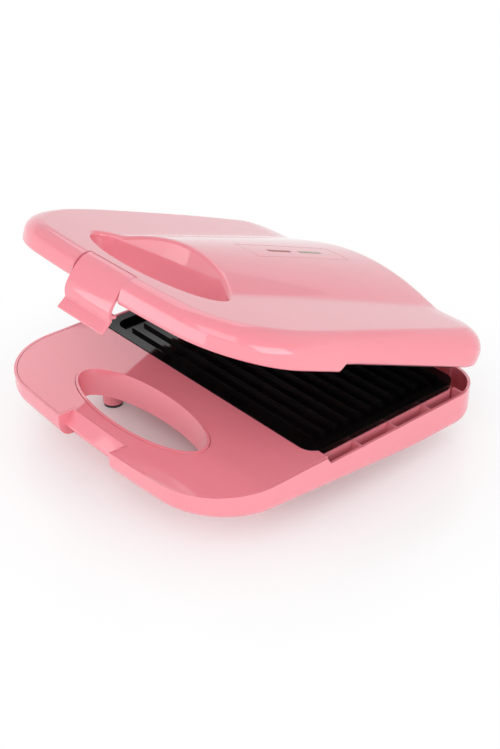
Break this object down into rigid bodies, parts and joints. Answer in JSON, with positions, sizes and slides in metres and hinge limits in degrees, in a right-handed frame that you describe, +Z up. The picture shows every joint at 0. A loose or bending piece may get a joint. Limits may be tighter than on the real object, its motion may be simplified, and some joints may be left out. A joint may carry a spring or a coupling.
{
  "type": "sandwich maker",
  "caption": "Hinged-lid countertop sandwich maker with ribbed non-stick plates, open oval grips, front latch and indicator lenses, lid part open.",
  "frame": {"origin": "on the table, under the middle of the whole part with its lid at the rest angle", "axes": "+X to the right as seen from the front, +Y from the handle and latch to the hinge at the rear, +Z up from the table"},
  "size_m": [0.246, 0.2606, 0.1537],
  "materials": {
    "salmon_plastic": "gloss, evenly coloured",
    "nonstick_plate": "cast, black non-stick coating with a satin sheen",
    "heater_steel": "heat-darkened drawn tube",
    "zinc_steel": "zinc-coated sheet",
    "screw_steel": "zinc-plated",
    "pin_steel": "ground rod",
    "terminal_brass": "turned",
    "thermostat_ceramic": "matt, stands in for ceramic",
    "terminal_plastic": "matt heat-resistant plastic",
    "gland_rubber": "matt",
    "foot_rubber": "matt",
    "wire_cover": "woven glass-fibre cover",
    "red_lens": "tinted, gloss",
    "green_lens": "tinted, gloss",
    "lamp_glass": "clear"
  },
  "bodies": {
    "base": {"base_shell": "salmon_plastic", "deck_cover": "salmon_plastic", "deck_screws": "screw_steel", "foot_pads": "foot_rubber", "hinge_pins": "pin_steel", "cord_gland": "gland_rubber", "lower_plate": "nonstick_plate", "lower_heater": "heater_steel", "lower_heater_clamps": "zinc_steel", "lower_clamp_screws": "screw_steel", "lower_heat_shield": "zinc_steel", "lower_plate_screws": "screw_steel", "thermostat": "thermostat_ceramic", "thermostat_screws": "screw_steel", "thermal_fuse": "zinc_steel", "fuse_clip": "zinc_steel", "terminal_block": "terminal_plastic", "terminal_screws": "terminal_brass", "base_wiring": "wire_cover"},
    "lid": {"lid_shell": "salmon_plastic", "lid_frame": "salmon_plastic", "lid_frame_screws": "screw_steel", "upper_plate": "nonstick_plate", "upper_heater": "heater_steel", "upper_heater_clamps": "zinc_steel", "upper_clamp_screws": "screw_steel", "upper_heat_shield": "zinc_steel", "upper_plate_screws": "screw_steel", "indicator_panel": "salmon_plastic", "power_lens": "red_lens", "ready_lens": "green_lens", "power_lamp": "lamp_glass", "ready_lamp": "lamp_glass", "lamp_holder": "terminal_plastic", "lamp_holder_screws": "screw_steel", "lid_wiring": "wire_cover", "latch_pin": "pin_steel"},
    "latch": {"latch": "salmon_plastic"}
  },
  "joints": [
    {"name": "lid_hinge", "type": "hinge", "parent": "base", "child": "lid", "pos_m": [0, 0.1151, 0.0445], "axis": [-1, 0, 0], "range_deg": [-22.5, 80]},
    {"name": "latch_pivot", "type": "hinge", "parent": "lid", "child": "latch", "pos_m": [0, -0.09889, 0.14667], "axis": [1, 0, 0], "range_deg": [-5, 22]}
  ]
}
